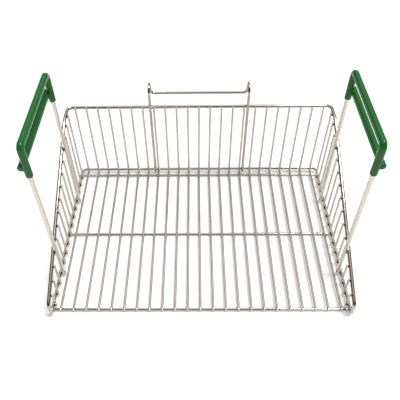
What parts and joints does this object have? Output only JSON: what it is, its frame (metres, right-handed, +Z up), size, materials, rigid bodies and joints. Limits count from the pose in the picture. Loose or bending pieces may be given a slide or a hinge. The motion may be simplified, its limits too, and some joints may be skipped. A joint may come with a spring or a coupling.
{
  "type": "wire dipping basket",
  "caption": "Welded wire basket with an open front and sloping side walls, with fixed coated lifting handles at the sides and a hanger hook at the back.",
  "frame": {"origin": "on the floor the basket stands on, at the centre of its overall outline", "axes": "+Z up, the open front faces -Y, the back wall and the hanger are at +Y, +X to the right as seen from the front"},
  "size_m": [0.608, 0.4366, 0.3747],
  "materials": {
    "stainless_rod": "bright drawn and electropolished",
    "grip_coating": "glossy dipped coating"
  },
  "bodies": {
    "root": {"rim_rod": "stainless_rod", "base_rod": "stainless_rod", "rear_cross_wire": "stainless_rod", "middle_cross_wire": "stainless_rod", "front_cross_wire": "stainless_rod", "basket_wire_01": "stainless_rod", "basket_wire_02": "stainless_rod", "basket_wire_03": "stainless_rod", "basket_wire_04": "stainless_rod", "basket_wire_05": "stainless_rod", "basket_wire_06": "stainless_rod", "basket_wire_07": "stainless_rod", "basket_wire_08": "stainless_rod", "basket_wire_09": "stainless_rod", "basket_wire_10": "stainless_rod", "basket_wire_11": "stainless_rod", "basket_wire_12": "stainless_rod", "basket_wire_13": "stainless_rod", "basket_wire_14": "stainless_rod", "basket_wire_15": "stainless_rod", "basket_wire_16": "stainless_rod", "basket_wire_17": "stainless_rod", "basket_wire_18": "stainless_rod", "basket_wire_19": "stainless_rod", "basket_wire_20": "stainless_rod", "basket_wire_21": "stainless_rod", "basket_wire_22": "stainless_rod", "basket_wire_23": "stainless_rod", "side_upright_pair_01": "stainless_rod", "side_upright_pair_02": "stainless_rod", "side_upright_pair_03": "stainless_rod", "side_upright_pair_05": "stainless_rod", "side_upright_pair_06": "stainless_rod", "side_upright_pair_07": "stainless_rod", "side_upright_pair_08": "stainless_rod", "side_upright_pair_09": "stainless_rod", "side_upright_pair_10": "stainless_rod", "side_upright_pair_11": "stainless_rod", "side_upright_pair_13": "stainless_rod", "side_upright_pair_14": "stainless_rod", "side_upright_pair_15": "stainless_rod", "left_handle_rod": "stainless_rod", "right_handle_rod": "stainless_rod", "left_finger_bar": "stainless_rod", "right_finger_bar": "stainless_rod", "left_grip_coating": "grip_coating", "right_grip_coating": "grip_coating", "hanger_hook": "stainless_rod"}
  },
  "joints": []
}
